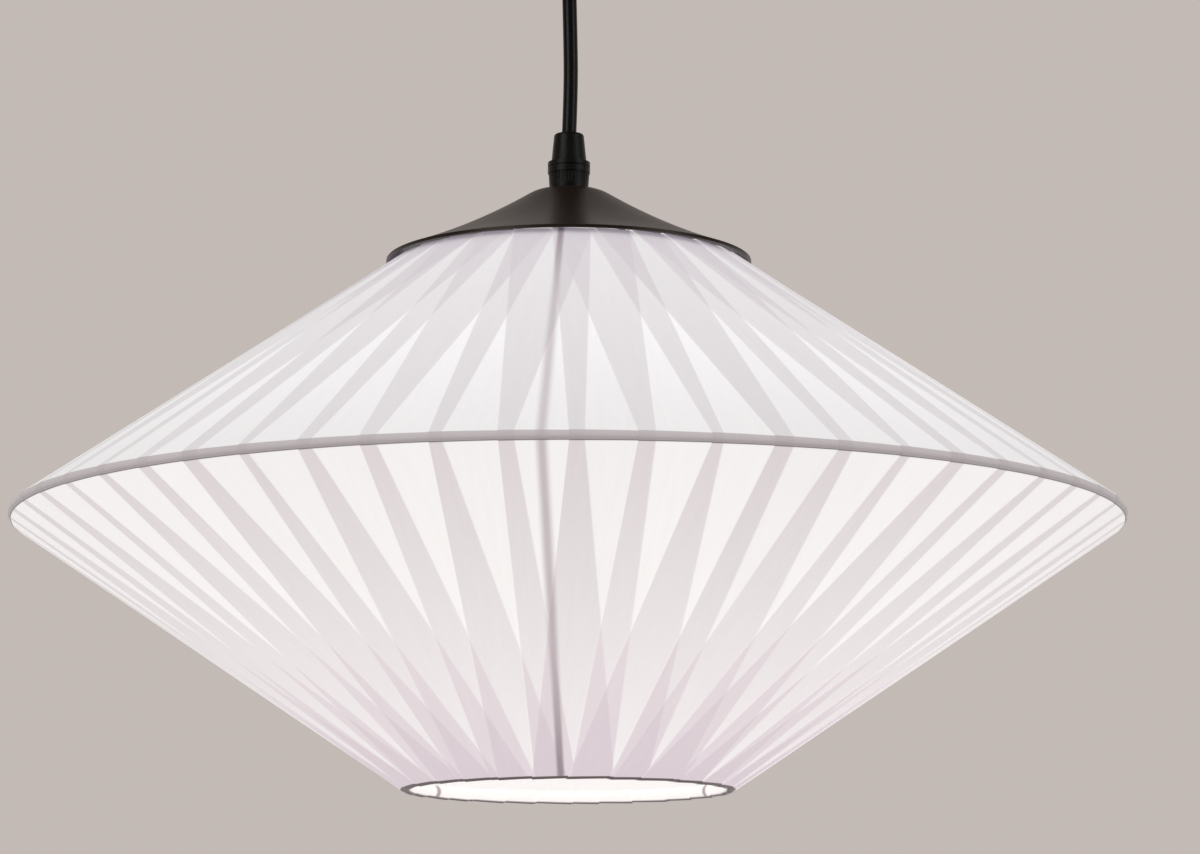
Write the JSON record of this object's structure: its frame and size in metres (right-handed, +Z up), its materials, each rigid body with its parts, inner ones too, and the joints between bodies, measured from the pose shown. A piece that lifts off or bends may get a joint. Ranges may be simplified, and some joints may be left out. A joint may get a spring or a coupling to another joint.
{
  "type": "pendant lamp",
  "caption": "Pendant lamp with a ceiling rose, a short black cord, a metal cap and a double cone shade wound from translucent ribbon over a wire frame.",
  "frame": {"origin": "on the ceiling, at the centre of the ceiling bracket's face", "axes": "+Z up towards the ceiling, along the lamp's axis; +X to the right and +Y away as seen by the picture's viewer; the bracket's two slots lie along X"},
  "size_m": [0.5, 0.4984, 0.4014],
  "materials": {
    "black_moulded_plastic": "moulded thermoplastic, satin",
    "black_cord_sheath": "glossy round PVC sheath",
    "black_painted_metal": "satin black paint on spun steel",
    "zinc_steel": "zinc plated",
    "white_painted_wire": "white coated steel wire",
    "brass": "turned",
    "natural_nylon": "natural",
    "white_ceramic": "glazed steatite",
    "red_fibre": "pressed fibre",
    "brown_sheath": "extruded",
    "blue_sheath": "extruded",
    "earth_sheath": "green and yellow, extruded",
    "tinned_copper": "tinned",
    "ribbon_cloth": "translucent off-white woven ribbon",
    "bulb_cap_metal": "rolled thread, nickel plated",
    "bulb_black_glass": "vitrite insulator",
    "bulb_white_plastic": "moulded",
    "opal_glass": "opal",
    "board_aluminium": "white lacquered disc",
    "chip_phosphor": "phosphor"
  },
  "bodies": {
    "ceiling_rose": {"ceiling_bracket": "zinc_steel", "rose_cup": "black_moulded_plastic", "rose_side_screws": "zinc_steel", "rose_relief": "black_moulded_plastic", "relief_locknut": "natural_nylon", "relief_clamp_screw": "natural_nylon", "rose_cord_end": "black_cord_sheath", "terminal_block": "natural_nylon", "terminal_barrels": "brass", "terminal_screws": "zinc_steel", "block_screw": "zinc_steel", "earth_eyelet": "tinned_copper", "earth_screw": "brass", "rose_brown_lead": "brown_sheath", "rose_blue_lead": "blue_sheath", "rose_earth_lead": "earth_sheath"},
    "cord": {"cord": "black_cord_sheath"},
    "cord_grip": {"grip_nut": "black_moulded_plastic", "grip_collet": "natural_nylon", "grip_body": "black_moulded_plastic", "grip_cord_end": "black_cord_sheath", "threaded_nipple": "zinc_steel", "nipple_locknut": "zinc_steel"},
    "lamp": {"shade_cap": "black_painted_metal", "fibre_washer": "red_fibre", "lampholder_dome": "black_moulded_plastic", "lampholder_skirt": "black_moulded_plastic", "lampholder_insert": "white_ceramic", "screw_shell": "brass", "centre_contact": "brass", "holder_terminals": "brass", "holder_terminal_screws": "zinc_steel", "earth_tag": "tinned_copper", "holder_brown_lead": "brown_sheath", "holder_blue_lead": "blue_sheath", "holder_earth_lead": "earth_sheath", "spider_ring": "white_painted_wire", "shade_ring": "black_moulded_plastic", "top_ring": "white_painted_wire", "equator_ring": "white_painted_wire", "bottom_ring": "white_painted_wire", "spider_arms": "white_painted_wire", "upper_ribs": "white_painted_wire", "lower_ribs": "white_painted_wire", "ribbon_upper_1": "ribbon_cloth", "ribbon_upper_2": "ribbon_cloth", "ribbon_upper_3": "ribbon_cloth", "ribbon_upper_4": "ribbon_cloth", "ribbon_lower_1": "ribbon_cloth", "ribbon_lower_2": "ribbon_cloth", "ribbon_lower_3": "ribbon_cloth", "ribbon_lower_4": "ribbon_cloth"},
    "bulb_tip": {"bulb_tip_contact": "tinned_copper", "bulb_insulator": "bulb_black_glass"},
    "bulb": {"bulb_cap": "bulb_cap_metal", "bulb_neck": "bulb_white_plastic", "light_board": "board_aluminium", "light_chips": "chip_phosphor", "bulb_globe": "opal_glass"}
  },
  "joints": [
    {"name": "cord_swing", "type": "hinge", "parent": "ceiling_rose", "child": "cord", "pos_m": [0, 0, -0.033], "axis": [1, 0, 0], "range_deg": [-20, 20]},
    {"name": "lamp_tilt", "type": "hinge", "parent": "cord", "child": "cord_grip", "pos_m": [0, 0, -0.104], "axis": [0, 1, 0], "range_deg": [-20, 20]},
    {"name": "lamp_turn", "type": "hinge", "parent": "cord_grip", "child": "lamp", "pos_m": [0, 0, -0.104], "axis": [0, 0, 1], "range_deg": [-180, 180]},
    {"name": "bulb_travel", "type": "slide", "parent": "lamp", "child": "bulb_tip", "axis": [0, 0, 1], "range_m": [-0.0128, 0]},
    {"name": "bulb_turn", "type": "hinge", "parent": "bulb_tip", "child": "bulb", "pos_m": [0, 0, -0.17], "axis": [0, 0, 1], "range_deg": [-1260, 0]}
  ],
  "couplings": [
    {"joint": "bulb_travel", "follows": "bulb_turn", "m_per_rad": 0.00057757}
  ]
}
